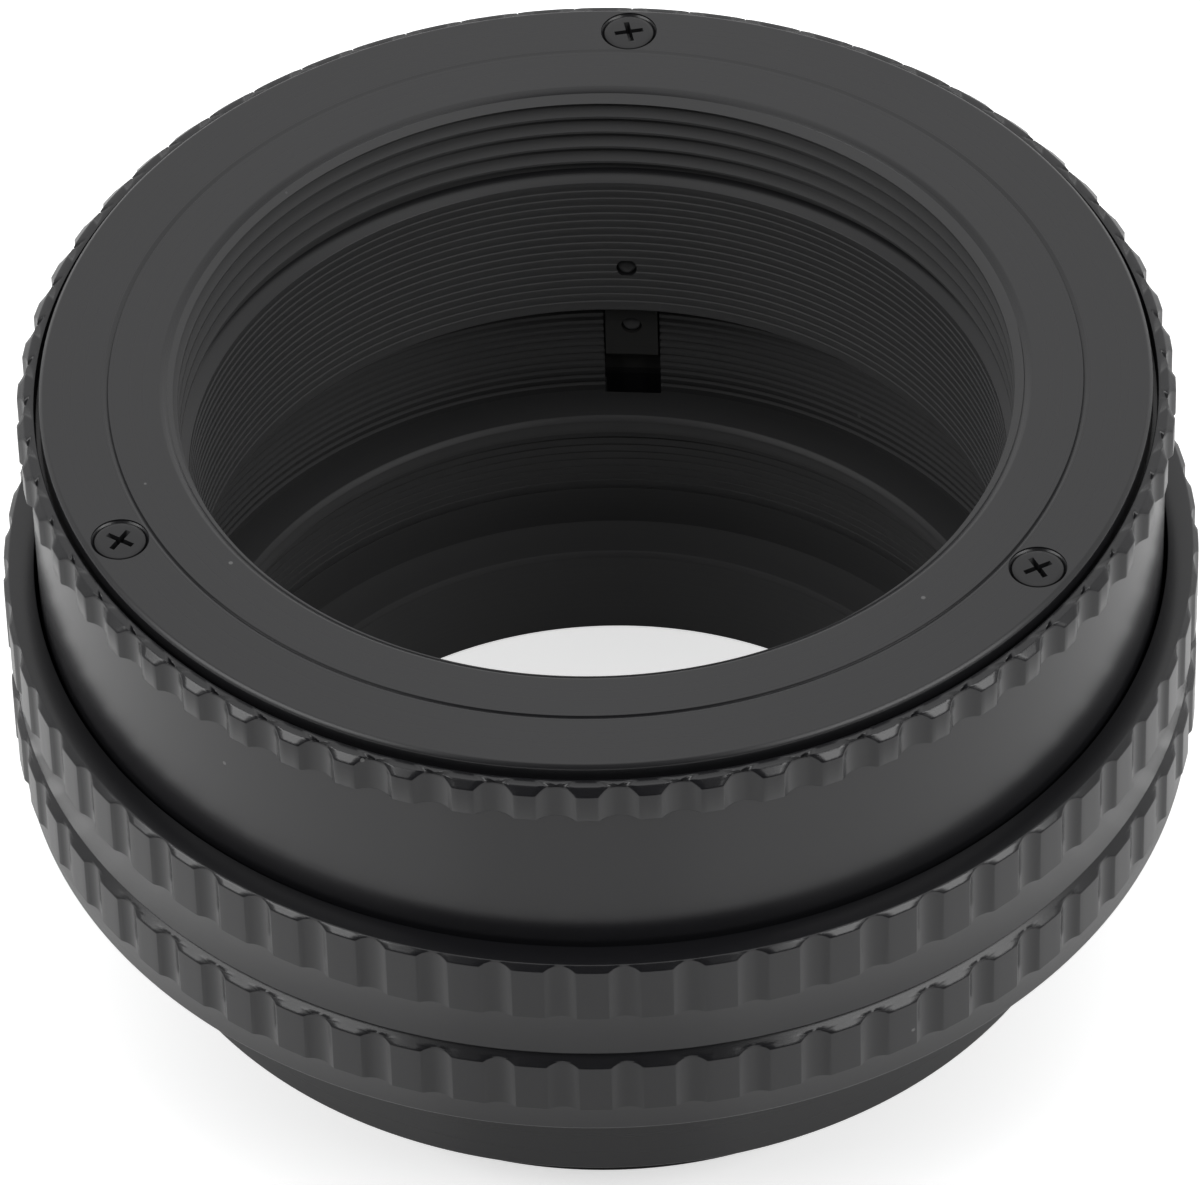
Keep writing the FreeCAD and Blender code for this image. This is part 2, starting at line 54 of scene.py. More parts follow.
# Heights above the rear thread's end, in millimetres
FACE = 35.5
THREAD_FLOOR = 30.3
PLATE_SEAT = 33.8
BARREL_TOP_UNDER = 32.3
RIM_TOP = 34.9
RIM_BOTTOM = 32.95
BARREL_LAND_TOP = 26.51
BARREL_BOTTOM = 22.66
TUBE_END = 21.1
SLEEVE_TOP = 24.26
SLEEVE_SEAT = 7.7
LIP_TOP = 13.6
LIP_BOTTOM = 12.6
GRIP_BOTTOM = 12.7
GRIP_WEB_TOP = 14.16
LOW_FLUTES = 14.4
LOW_FLUTES_END = 17.3
GROOVE_START = 17.85
GROOVE_END = 18.1
HIGH_FLUTES = 20.75
HIGH_FLUTES_END = 23.93
GRIP_TOP = 24.23
NECK_TOP = 13.9
FLOOR_TOP = 5.3
FLANGE = 4.5
REAR_EDGE = 0.0
KEYWAY_BOTTOM = 8.9
KEY_SCREW_HIGH = 24.1
KEY_SCREW_LOW = 18.2
STOP_SCREW = 19.56
PLATE_SCREW_END = 32.6
GRIP_SCREW_END = 15.06

# Radii in millimetres
THREAD_MAJOR = 21.0
THREAD_MINOR = 20.56
TUBE_BORE = 20.2
TUBE_OUTER = 22.3
PLATE_OUTER = 27.33
FACE_LINE = 24.03
PLATE_RECESS = 27.58
RIM_CREST = 28.46
BARREL_OUTER = 28.0
BARREL_RELIEF = 26.4
BARREL_LAND = 25.2
GRIP_CREST = 29.75
GRIP_SMOOTH = 29.45
GRIP_GROOVE = 29.2
GRIP_BORE = 28.2
GRIP_WEB_BORE = 24.7
NECK_OUTER = 24.5
NECK_BORE = 23.43
SLEEVE_OUTER = 23.4
SLEEVE_BORE = 22.4
KEYWAY_FLOOR = 22.2
CUP_BORE = 21.2
REAR_BORE = 18.7
KEY_SCREW_HEAD = 23.17
PLATE_SCREW_CIRCLE = 25.58
GRIP_SCREW_CIRCLE = 26.5

# Threads and the ribs in the bores: lengths in millimetres, run-out in turns, half widths in pitches
PITCH = 1.0
RUN_OUT = 0.2
THREAD_SINK = 0.05
THREAD_HALF_FOOT = 0.44
THREAD_HALF_TIP = 0.07
THREAD_OVERRUN = 0.55
REAR_THREAD_DEPTH = 0.58
REAR_THREAD_LOW = 0.55
REAR_THREAD_GAP = 0.6
RIB_PITCH = 0.505
RIB_LAND = 0.2
RIB_SLOPE = 0.62
TUBE_RIB_DEPTH = 0.065
SLEEVE_RIB_DEPTH = 0.15
FAINT_RIB_DEPTH = 0.05
RIB_MARGIN = 0.2
LEDGE_MARGIN = 0.05
LIP_MARGIN = 0.3

# Flutes: counts, and lengths in millimetres
FLUTE_COUNT = 60
FLUTE_FOOT = 0.04
FLUTE_CUTTER = 1.35
FLUTE_EDGE = 0.03
FLUTE_BREAK = 0.07
STEPS_PER_FLUTE = 16
STEPS_TO_EDGE = 5

# Screws: lengths in millimetres, and the turns of their crosses in degrees
SCREW_COUNT = 3
SINK_RADIUS = 1.42
SINK_STEP = 0.1
HEAD_RADIUS = 1.27
HEAD_DROP = 0.03
HEAD_EDGE = 0.2
SHANK_RADIUS = 0.75
SHANK_PLAY = 0.05
CROSS_ARM = 0.8
CROSS_HALF_WIDTH = 0.15
CROSS_DEPTH = 0.5
CROSS_PAST = 0.1
CROSS_TAPER = 0.5
PLATE_CROSS_TURNS = (14, 62, 31)
GRIP_CROSS_TURNS = (40, 8, 71)
KEY_SCREW_RADIUS = 0.5
KEY_SCREW_PLAY = 0.03
KEY_SCREW_TIP = 0.1
STOP_HOLE_RADIUS = 0.63
# The rounded rim of a head and the dome of a tip: how far in from the radius, and how far from the end
HEAD_RIM = ((0.25, 0), (0.1, 0.02), (0.03, 0.06), (0, 0.13), (0, HEAD_EDGE))
KEY_SCREW_DOME = ((0.3, 0.01), (0.14, 0.03), (0.04, 0.07), (0, 0.13))

# Eased edges, chamfers and other small steps, in millimetres
EASE = 0.06
FINE_EASE = 0.02
FOOT_EASE = 0.03
CHAMFER_EASE = 0.04
LIP_EASE = 0.04
CREST_EASE = 0.05
ROOT_EASE = 0.05
BROAD_EASE = 0.1
CUP_CORNER_EASE = 1.2
FLARE_WIDTH = 0.4
FLARE_DEPTH = 0.25
FLARE_GAP = 0.005
LEDGE_DROP = 0.37
LINE_HALF_WIDTH = 0.12
LINE_FLOOR_OFF = 0.08
LINE_DEPTH = 0.115
TUBE_CHAMFER = 0.15
PLATE_CHAMFER = 0.2
RIM_CHAMFER = 0.38
GRIP_CHAMFER = 0.15
GRIP_TOP_CHAMFER = 0.3
LIP_CHAMFER = 0.25
NECK_CHAMFER = 0.2
REAR_BORE_CHAMFER = 0.25
REAR_LEAD_WIDTH = 0.1
REAR_LEAD_HEIGHT = 0.15
SLOT_HALF_WIDTH = 1.45
WALL_SINK = 0.02

# How far cutters go past what they cut, in millimetres
CUT_PAST = 0.3
CUT_CLEAR = 1


def corner(radius, height, ease=EASE):
    """One corner of a half section: where it is, and how far its edge is eased."""
    return radius, height, ease


def chamfered(start, end, cuts=4):
    """Corners along a straight chamfer, eased at its two ends."""
    (r0, z0), (r1, z1) = start, end
    inner = [corner(r0 + (r1 - r0) * k / cuts, z0 + (z1 - z0) * k / cuts, 0) for k in range(1, cuts)]
    return [corner(r0, z0, CHAMFER_EASE)] + inner + [corner(r1, z1, CHAMFER_EASE)]


def ribbed(radius, top, bottom, depth):
    """Fine anti-reflection ribs cut into a bore with steep flanks, from its upper end down."""
    flank = depth * RIB_SLOPE
    points = [corner(radius, top, 0)]
    for k in range(int((top - bottom) / RIB_PITCH)):
        crest = top - RIB_PITCH * k
        points.append(corner(radius, crest - RIB_LAND, 0))
        points.append(corner(radius + depth, crest - RIB_LAND - flank, 0))
        points.append(corner(radius + depth, crest - RIB_PITCH + flank, 0))
        points.append(corner(radius, crest - RIB_PITCH, 0))
    return points


def half_section(bm, corners):
    """A closed wire of the corners in the XZ plane, with its edges eased."""
    verts = [bm.verts.new((r * MM, 0, z * MM)) for r, z, _ in corners]
    for a, b in zip(verts, verts[1:] + verts[:1]):
        bm.edges.new((a, b))
    for ease in sorted({c[2] for c in corners if c[2]}):
        eased = [v for v, c in zip(verts, corners) if c[2] == ease]
        bmesh.ops.bevel(bm, geom=eased, offset=ease * MM, offset_type="OFFSET", affect="VERTICES",
                        segments=EASE_STEPS, profile=0.5, material=-1, clamp_overlap=True)


def spun(bm, steps, start=0.0, sweep=TURN):
    """Spins the wire, or the face across it, about the optical axis."""
    whole = sweep >= TURN
    if start:
        bmesh.ops.rotate(bm, verts=bm.verts[:], cent=(0, 0, 0), matrix=Matrix.Rotation(start, 3, "Z"))
    geom = bm.verts[:] + bm.edges[:] + bm.faces[:]
    bmesh.ops.spin(bm, geom=geom, cent=(0, 0, 0), axis=(0, 0, 1), angle=sweep, steps=steps,
                   use_merge=whole, use_normal_flip=False, use_duplicate=False)


def cleaned(bm):
    """Merges doubles and points every face outwards."""
    bmesh.ops.remove_doubles(bm, verts=bm.verts[:], dist=WELD_DISTANCE)
    bmesh.ops.recalc_face_normals(bm, faces=bm.faces[:])


def crisp(bm):
    """Shades a bmesh smooth, but for the edges where its faces meet at more than the sharp angle."""
    for face in bm.faces:
        face.smooth = True
    for edge in bm.edges:
        edge.smooth = edge.calc_face_angle(0) < SHARP_ANGLE


def piece(name, bm, body, material):
    """Makes an object of a bmesh, smooth but for its sharp edges, riding a body."""
    mesh = bpy.data.meshes.new(name)
    crisp(bm)
    bm.to_mesh(mesh)
    bm.free()
    mesh.materials.append(material)
    obj = bpy.data.objects.new(name, mesh)
    bpy.context.scene.collection.objects.link(obj)
    flat_faces = obj.modifiers.new("flat_faces", "WEIGHTED_NORMAL")
    flat_faces.keep_sharp = True
    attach(obj, body)
    return obj


def paint_bore_light(obj, radius, low, top, material):
    """Gives the inside of a turned piece a lighter finish, within a radius and between two heights; the
    lighter tone is painted light in the shaded bore.
    """
    obj.data.materials.append(material)
    for face in obj.data.polygons:
        x, y, z = face.center
        outward = face.normal.x * x + face.normal.y * y
        within = math.hypot(x, y) < radius * MM and low * MM < z < top * MM
        if within and outward < OUTWARD_LIMIT * MM:
            face.material_index = len(obj.data.materials) - 1


def turned(corners, steps=PLAIN_STEPS):
    """A whole ring, spun from the corners of its half section."""
    bm = bmesh.new()
    half_section(bm, corners)
    spun(bm, steps)
    cleaned(bm)
    return bm


def carve_flutes(bm, wall, crest, low, high):
    """Sinks scalloped flutes into a raised band, as a round cutter leaves them, with a crisp edge."""
    pitch = TURN / FLUTE_COUNT
    floor = wall + FLUTE_FOOT
    centre = floor + FLUTE_CUTTER
    for v in bm.verts:
        z = v.co.z / MM
        r = math.hypot(v.co.x, v.co.y) / MM
        if not low - NEAR <= z <= high + NEAR or not floor < r < crest + NEAR:
            continue
        angle = math.atan2(v.co.y, v.co.x)
        middle = round(angle / pitch) * pitch
        step = round((angle - middle) / pitch * STEPS_PER_FLUTE)
        edge = math.acos((r * r + centre * centre - FLUTE_CUTTER ** 2) / (2 * r * centre))
        break_edge = min(FLUTE_EDGE / r, edge / 4)
        if abs(step) <= STEPS_TO_EDGE:
            off = (edge - break_edge) * step / STEPS_TO_EDGE
            sunk = centre * math.cos(off) - math.sqrt(FLUTE_CUTTER ** 2 - (centre * math.sin(off)) ** 2)
            sunk -= max(z - high + FLUTE_BREAK, 0)
        else:
            land = STEPS_PER_FLUTE // 2 - STEPS_TO_EDGE - 1
            along = (abs(step) - STEPS_TO_EDGE - 1) / land
            start = edge + break_edge
            off = math.copysign(start + (pitch / 2 - start) * along, step)
            sunk = r
        v.co.x = sunk * math.cos(middle + off) * MM
        v.co.y = sunk * math.sin(middle + off) * MM


def add_bmesh(bm, other):
    """Adds one bmesh to another, and frees it."""
    mesh = bpy.data.meshes.new("joined")
    other.to_mesh(mesh)
    other.free()
    bm.from_mesh(mesh)
    bpy.data.meshes.remove(mesh)


def screw_spot(k, circle):
    """Where one of three like screws stands on its circle."""
    angle = TURN / 4 + TURN * k / SCREW_COUNT
    return Vector((math.cos(angle), math.sin(angle), 0)) * circle * MM


def spun_solid(points, foot, axis):
    """A round solid about its own axis, spun from (radius, distance along the axis) points."""
    bm = bmesh.new()
    side = Vector(axis).orthogonal().normalized()
    ends = [(0, points[0][1])] + points + [(0, points[-1][1])]
    verts = [bm.verts.new(foot + side * r * MM + Vector(axis) * along * MM) for r, along in ends]
    for a, b in zip(verts, verts[1:]):
        bm.edges.new((a, b))
    bmesh.ops.spin(bm, geom=bm.verts[:] + bm.edges[:], cent=foot, axis=axis, angle=TURN,
                   steps=SCREW_STEPS, use_merge=True)
    cleaned(bm)
    return bm


def at_screws(points, circle):
    """A round upright solid at each of three like screws."""
    bm = bmesh.new()
    for k in range(SCREW_COUNT):
        add_bmesh(bm, spun_solid(points, screw_spot(k, circle), (0, 0, 1)))
    return bm


def countersinks(surface, far_side, circle):
    """Cutters for three countersunk screws, from a surface through to the far side."""
    inward = math.copysign(1, far_side - surface)
    sink = surface + inward * SINK_STEP
    hole_radius = SHANK_RADIUS + SHANK_PLAY
    return at_screws([
        (SINK_RADIUS, surface - inward * CUT_PAST),
        (SINK_RADIUS, sink),
        (hole_radius, sink + inward * (SINK_RADIUS - SHANK_RADIUS)),
        (hole_radius, far_side + inward * CUT_PAST),
    ], circle)


def drill(radius, start, end, height, axis):
    """A round cutter across the optical axis, from one distance off it to another."""
    return spun_solid([(radius, start), (radius, end)], Vector((0, 0, height * MM)), axis)


def helical_thread(radius, tip, low, high, start=0.0):
    """A thread ridge wound up a wall from a starting angle; its foot is sunk in the wall."""
    bm = bmesh.new()
    foot = radius + math.copysign(THREAD_SINK, radius - tip)
    shape = [
        (foot, -THREAD_HALF_FOOT),
        (tip, -THREAD_HALF_TIP),
        (tip, THREAD_HALF_TIP),
        (foot, THREAD_HALF_FOOT),
    ]
    verts = [bm.verts.new((r * MM, 0, (low + z * PITCH) * MM)) for r, z in shape]
    bm.faces.new(verts)
    turns = (high - low) / PITCH
    total = round(THREAD_STEPS * turns)
    rise = Vector((0, 0, (high - low) * MM / total))
    bmesh.ops.spin(bm, geom=bm.verts[:] + bm.edges[:] + bm.faces[:], cent=(0, 0, 0), axis=(0, 0, 1),
                   dvec=rise, angle=TURN * turns, steps=total, use_duplicate=False)
    cleaned(bm)
    for v in bm.verts:
        along = math.atan2(v.co.y, v.co.x) % TURN / TURN
        along += round((v.co.z / MM - low) / PITCH - along)
        height = max(min(along, turns - along) / RUN_OUT, 0)
        if height < 1:
            r = math.hypot(v.co.x, v.co.y) / MM
            lowered = foot + (r - foot) * height
            v.co.x *= lowered / r
            v.co.y *= lowered / r
    bmesh.ops.rotate(bm, verts=bm.verts[:], cent=(0, 0, 0), matrix=Matrix.Rotation(start, 3, "Z"))
    return bm


def add_boolean_cut(target, cutter_bm, name):
    """Cuts a shape out of a piece, then bakes the cut into its mesh."""
    mesh = bpy.data.meshes.new(name)
    cutter_bm.to_mesh(mesh)
    cutter_bm.free()
    cutter = bpy.data.objects.new(name, mesh)
    bpy.context.scene.collection.objects.link(cutter)
    modifier = target.modifiers.new(name, "BOOLEAN")
    modifier.operation = "DIFFERENCE"
    modifier.solver = "EXACT"
    modifier.object = cutter
    depsgraph = bpy.context.evaluated_depsgraph_get()
    cut_mesh = bpy.data.meshes.new_from_object(target.evaluated_get(depsgraph))
    cut_bm = bmesh.new()
    cut_bm.from_mesh(cut_mesh)
    crisp(cut_bm)
    cut_bm.to_mesh(cut_mesh)
    cut_bm.free()
    target.modifiers.remove(modifier)
    old = target.data
    target.data = cut_mesh
    bpy.data.meshes.remove(old)
    bpy.data.objects.remove(cutter)
    bpy.data.meshes.remove(mesh)


# Materials

def group_input(group, name, kind, value):
    socket = group.interface.new_socket(name, in_out="INPUT", socket_type=kind)
    socket.default_value = value


def lathe_marks_group():
    """Fine marks that a lathe leaves round every turned face, and a slow drift of tone."""
    group = bpy.data.node_groups.new("lathe_marks", "ShaderNodeTree")
    group_input(group, "Marks per metre", "NodeSocketFloat", 6000.0)
    group_input(group, "Drift scale", "NodeSocketFloat", 60.0)
    group.interface.new_socket("Marks", in_out="OUTPUT", socket_type="NodeSocketFloat")
    group.interface.new_socket("Drift", in_out="OUTPUT", socket_type="NodeSocketFloat")
    nodes, links = group.nodes, group.links
    inputs = nodes.new("NodeGroupInput")
    outputs = nodes.new("NodeGroupOutput")
    place = nodes.new("ShaderNodeTexCoord")
    flat = nodes.new("ShaderNodeVectorMath")
    flat.operation = "MULTIPLY"
    flat.inputs[1].default_value = (1, 1, 0)
    radius = nodes.new("ShaderNodeVectorMath")
    radius.operation = "LENGTH"
    height = nodes.new("ShaderNodeSeparateXYZ")
    along = nodes.new("ShaderNodeMath")
    along.operation = "ADD"
    marks = nodes.new("ShaderNodeTexNoise")
    marks.noise_dimensions = "1D"
    marks.inputs["Detail"].default_value = 3.0
    marks.inputs["Roughness"].default_value = 0.65
    drift = nodes.new("ShaderNodeTexNoise")
    drift.inputs["Detail"].default_value = 4.0
    links.new(place.outputs["Object"], flat.inputs[0])
    links.new(flat.outputs["Vector"], radius.inputs[0])
    links.new(place.outputs["Object"], height.inputs[0])
    links.new(radius.outputs["Value"], along.inputs[0])
    links.new(height.outputs["Z"], along.inputs[1])
    links.new(along.outputs[0], marks.inputs["W"])
    links.new(inputs.outputs["Marks per metre"], marks.inputs["Scale"])
    links.new(place.outputs["Object"], drift.inputs["Vector"])
    links.new(inputs.outputs["Drift scale"], drift.inputs["Scale"])
    links.new(marks.outputs["Fac"], outputs.inputs["Marks"])
    links.new(drift.outputs["Fac"], outputs.inputs["Drift"])
    return group


def dust_group():
    """A few small pale specks of dust and lint."""
    group = bpy.data.node_groups.new("dust_specks", "ShaderNodeTree")
    group_input(group, "Specks per metre", "NodeSocketFloat", 420.0)
    group_input(group, "Speck size", "NodeSocketFloat", 0.045)
    group_input(group, "Share", "NodeSocketFloat", 0.12)
    group.interface.new_socket("Mask", in_out="OUTPUT", socket_type="NodeSocketFloat")
    nodes, links = group.nodes, group.links
    inputs = nodes.new("NodeGroupInput")
    outputs = nodes.new("NodeGroupOutput")
    place = nodes.new("ShaderNodeTexCoord")
    cells = nodes.new("ShaderNodeTexVoronoi")
    near = nodes.new("ShaderNodeMath")
    near.operation = "LESS_THAN"
    pick = nodes.new("ShaderNodeSeparateColor")
    chosen = nodes.new("ShaderNodeMath")
    chosen.operation = "LESS_THAN"
    both = nodes.new("ShaderNodeMath")
    both.operation = "MULTIPLY"
    links.new(place.outputs["Object"], cells.inputs["Vector"])
    links.new(inputs.outputs["Specks per metre"], cells.inputs["Scale"])
    links.new(cells.outputs["Distance"], near.inputs[0])
    links.new(inputs.outputs["Speck size"], near.inputs[1])
    links.new(cells.outputs["Color"], pick.inputs[0])
    links.new(pick.outputs["Red"], chosen.inputs[0])
    links.new(inputs.outputs["Share"], chosen.inputs[1])
    links.new(near.outputs[0], both.inputs[0])
    links.new(chosen.outputs[0], both.inputs[1])
    links.new(both.outputs[0], outputs.inputs["Mask"])
    return group


LATHE_MARKS = lathe_marks_group()
DUST = dust_group()
DUST_COLOUR = (0.10, 0.10, 0.10, 1)


def finish(name, dark, light, rough, spread,
           metallic=0.0, specular=0.5, bump=0.12, marks=6000.0, dust=0.12):
    """A turned finish with a drifting tone, dust, and roughness and relief that follow the lathe marks."""
    material = bpy.data.materials.new(name)
    material.use_nodes = True
    nodes, links = material.node_tree.nodes, material.node_tree.links
    shader = nodes["Principled BSDF"]
    shader.inputs["Metallic"].default_value = metallic
    shader.inputs["Specular IOR Level"].default_value = specular
    lathe = nodes.new("ShaderNodeGroup")
    lathe.node_tree = LATHE_MARKS
    lathe.inputs["Marks per metre"].default_value = marks
    specks = nodes.new("ShaderNodeGroup")
    specks.node_tree = DUST
    specks.inputs["Share"].default_value = dust
    tone = nodes.new("ShaderNodeMix")
    tone.data_type = "RGBA"
    tone.inputs["A"].default_value = (*dark, 1)
    tone.inputs["B"].default_value = (*light, 1)
    dusty = nodes.new("ShaderNodeMix")
    dusty.data_type = "RGBA"
    dusty.inputs["B"].default_value = DUST_COLOUR
    gloss = nodes.new("ShaderNodeMapRange")
    gloss.inputs["From Min"].default_value = 0.3
    gloss.inputs["From Max"].default_value = 0.7
    gloss.inputs["To Min"].default_value = rough - spread
    gloss.inputs["To Max"].default_value = rough + spread
    relief = nodes.new("ShaderNodeBump")
    relief.inputs["Strength"].default_value = bump
    relief.inputs["Distance"].default_value = 0.00002
    links.new(lathe.outputs["Drift"], tone.inputs["Factor"])
    links.new(tone.outputs["Result"], dusty.inputs["A"])
    links.new(specks.outputs["Mask"], dusty.inputs["Factor"])
    links.new(dusty.outputs["Result"], shader.inputs["Base Color"])
    links.new(lathe.outputs["Marks"], gloss.inputs["Value"])
    links.new(gloss.outputs["Result"], shader.inputs["Roughness"])
    links.new(lathe.outputs["Marks"], relief.inputs["Height"])
    links.new(relief.outputs["Normal"], shader.inputs["Normal"])
    return material


SATIN_BLACK = finish(
    "satin_black_anodised", dark=(0.0115, 0.0115, 0.0125), light=(0.0145, 0.0145, 0.016),
    rough=0.3, spread=0.03, bump=0.05)
SMOOTH_BLACK = finish(
    "smooth_black_anodised", dark=(0.0095, 0.0095, 0.0107), light=(0.0125, 0.0125, 0.0142),
    rough=0.24, spread=0.015, bump=0.02)
# A light black for the lens thread and the wall behind it: partly a matt finish, partly painted light that
# lifts the shade in the thread's valleys
THREAD_BLACK_PAINTED_LIGHT = finish(
    "black_thread_painted_light", dark=(0.060, 0.060, 0.061), light=(0.068, 0.068, 0.069),
    rough=0.5, spread=0.04, specular=0.15, bump=0.05)
# A matt black for the bores, lighter than the outside: partly the bores' own matt finish, partly painted
# light that lifts the shade inside them
BORE_BLACK_PAINTED_LIGHT = finish(
    "matt_black_bore_painted_light", dark=(0.040, 0.040, 0.041), light=(0.049, 0.049, 0.050),
    rough=0.5, spread=0.05, specular=0.35, bump=0.05, dust=0.05)
# A still lighter matt black for the inside of the cup: a matt finish, with painted light that lifts the
# shade in the cup's deep corner
CUP_BLACK_PAINTED_LIGHT = finish(
    "matt_black_cup_painted_light", dark=(0.046, 0.046, 0.047), light=(0.054, 0.054, 0.055),
    rough=0.6, spread=0.05, specular=0.3, bump=0.05, dust=0.05)
BLACK_STEEL = finish(
    "black_oxide_steel", dark=(0.012, 0.012, 0.013), light=(0.02, 0.02, 0.021),
    rough=0.36, spread=0.06, metallic=0.3, marks=3000.0)
DARK_BRASS = finish(
    "blackened_brass", dark=(0.036, 0.036, 0.035), light=(0.044, 0.0435, 0.042),
    rough=0.7, spread=0.06, specular=0.2)
SLIP_PLASTIC = finish(
    "slip_plastic", dark=(0.016, 0.016, 0.016), light=(0.022, 0.022, 0.022),
    rough=0.5, spread=0.04, bump=0.03, dust=0.0)


# Pieces

def make_front_mount():
    """The face plate with the lens thread's bore and the ribbed tube, in one piece."""
    ledge = THREAD_FLOOR - LEDGE_DROP
    bm = turned([
        corner(TUBE_BORE + TUBE_CHAMFER, TUBE_END),
        corner(TUBE_OUTER - TUBE_CHAMFER, TUBE_END),
        corner(TUBE_OUTER, TUBE_END + TUBE_CHAMFER),
        corner(TUBE_OUTER, PLATE_SEAT),
        corner(PLATE_OUTER, PLATE_SEAT),
        corner(PLATE_OUTER, FACE - PLATE_CHAMFER),
        corner(PLATE_OUTER - PLATE_CHAMFER, FACE),
        corner(FACE_LINE + LINE_HALF_WIDTH, FACE, FINE_EASE),
        corner(FACE_LINE - LINE_FLOOR_OFF, FACE - LINE_DEPTH, FINE_EASE),
        corner(FACE_LINE - LINE_HALF_WIDTH, FACE, FINE_EASE),
        corner(THREAD_MAJOR + FLARE_WIDTH, FACE),
        corner(THREAD_MAJOR, FACE - FLARE_DEPTH),
        corner(THREAD_MAJOR, THREAD_FLOOR, 0),
        corner(TUBE_BORE, ledge, FINE_EASE),
    ] + ribbed(TUBE_BORE, ledge - LEDGE_MARGIN, TUBE_END + RIB_MARGIN, TUBE_RIB_DEPTH)
      + [corner(TUBE_BORE, TUBE_END + TUBE_CHAMFER)])
    mount = piece("front_mount_turned", bm, "front", SATIN_BLACK)
    holes = countersinks(FACE, PLATE_SEAT, PLATE_SCREW_CIRCLE)
    past_wall = TUBE_OUTER + CUT_CLEAR
    key_screw_hole = KEY_SCREW_RADIUS + KEY_SCREW_PLAY
    add_bmesh(holes, drill(key_screw_hole, -past_wall, past_wall, KEY_SCREW_HIGH, (0, 1, 0)))
    add_boolean_cut(mount, holes, "front_mount_holes")
    # The tube's bore is painted a lighter black, as painted light in its shade
    paint_bore_light(mount, THREAD_MAJOR, TUBE_END, ledge, BORE_BLACK_PAINTED_LIGHT)
    # The wall behind the lens thread is painted a lighter black, as painted light in the valleys' shade
    paint_bore_light(mount, THREAD_MAJOR, THREAD_FLOOR, FACE - FLARE_DEPTH, THREAD_BLACK_PAINTED_LIGHT)
    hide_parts("front_mount")


def make_front_thread():
    """The lens thread, cut off at its top by the bore's flare."""
    bm = helical_thread(THREAD_MAJOR, THREAD_MINOR, THREAD_FLOOR, FACE + THREAD_OVERRUN, TURN / 2)
    # The thread ridge takes the lighter thread black, painted light in its shaded valleys
    thread = piece("front_thread_ridge", bm, "front", THREAD_BLACK_PAINTED_LIGHT)
    slope = FLARE_DEPTH / FLARE_WIDTH
    inner = THREAD_MINOR - 2 * CUT_PAST
    outer = THREAD_MAJOR + CUT_PAST
    foot = FACE - FLARE_DEPTH - FLARE_GAP
    top = FACE + 2 * CUT_CLEAR
    flare = turned([
        corner(inner, foot + (inner - THREAD_MAJOR) * slope, 0),
        corner(outer, foot + (outer - THREAD_MAJOR) * slope, 0),
        corner(outer, top, 0),
        corner(inner, top, 0),
    ])
    add_boolean_cut(thread, flare, "thread_flare")


def make_front_barrel():
    """The smooth barrel with the first fluted rim; its recess takes the face plate."""
    bm = turned([
        corner(BARREL_LAND, BARREL_BOTTOM),
        corner(BARREL_OUTER, BARREL_BOTTOM),
        corner(BARREL_OUTER, RIM_BOTTOM, FOOT_EASE),
        corner(RIM_CREST, RIM_BOTTOM, CREST_EASE),
    ] + chamfered((RIM_CREST, RIM_TOP - RIM_CHAMFER), (RIM_CREST - RIM_CHAMFER, RIM_TOP)) + [
        corner(PLATE_RECESS, RIM_TOP),
        corner(PLATE_RECESS, PLATE_SEAT),
        corner(SLEEVE_BORE, PLATE_SEAT),
        corner(SLEEVE_BORE, BARREL_TOP_UNDER),
        corner(BARREL_RELIEF, BARREL_TOP_UNDER),
        corner(BARREL_RELIEF, BARREL_LAND_TOP),
        corner(BARREL_LAND, BARREL_LAND_TOP),
    ], FLUTE_COUNT * STEPS_PER_FLUTE)
    carve_flutes(bm, BARREL_OUTER, RIM_CREST, RIM_BOTTOM, RIM_TOP)
    barrel = piece("front_barrel_turned", bm, "front", SMOOTH_BLACK)
    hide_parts("front_barrel")


def make_focus_grip():
    """The focus ring with its two rows of flutes, and the web that its screws go through."""
    bm = turned([
        corner(GRIP_WEB_BORE, GRIP_BOTTOM),
        corner(GRIP_SMOOTH - GRIP_CHAMFER, GRIP_BOTTOM),
        corner(GRIP_SMOOTH, GRIP_BOTTOM + GRIP_CHAMFER),
        corner(GRIP_SMOOTH, LOW_FLUTES, FOOT_EASE),
        corner(GRIP_CREST, LOW_FLUTES, CREST_EASE),
    ] + chamfered((GRIP_CREST, LOW_FLUTES_END), (GRIP_GROOVE, GROOVE_START), cuts=6) + [
        corner(GRIP_GROOVE, GROOVE_END, FOOT_EASE),
        corner(GRIP_SMOOTH, GROOVE_END, CREST_EASE),
        corner(GRIP_SMOOTH, HIGH_FLUTES, FOOT_EASE),
        corner(GRIP_CREST, HIGH_FLUTES, CREST_EASE),
    ] + chamfered((GRIP_CREST, HIGH_FLUTES_END), (GRIP_CREST - GRIP_TOP_CHAMFER, GRIP_TOP)) + [
        corner(GRIP_BORE, GRIP_TOP),
        corner(GRIP_BORE, GRIP_WEB_TOP),
        corner(GRIP_WEB_BORE, GRIP_WEB_TOP),
    ], FLUTE_COUNT * STEPS_PER_FLUTE)
    carve_flutes(bm, GRIP_SMOOTH, GRIP_CREST, LOW_FLUTES, GROOVE_START)
    carve_flutes(bm, GRIP_SMOOTH, GRIP_CREST, HIGH_FLUTES, GRIP_TOP)
    grip = piece("focus_grip_turned", bm, "focus", SMOOTH_BLACK)
    add_boolean_cut(grip, countersinks(GRIP_BOTTOM, GRIP_WEB_TOP, GRIP_SCREW_CIRCLE), "grip_screw_sinks")
    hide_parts("focus_grip")


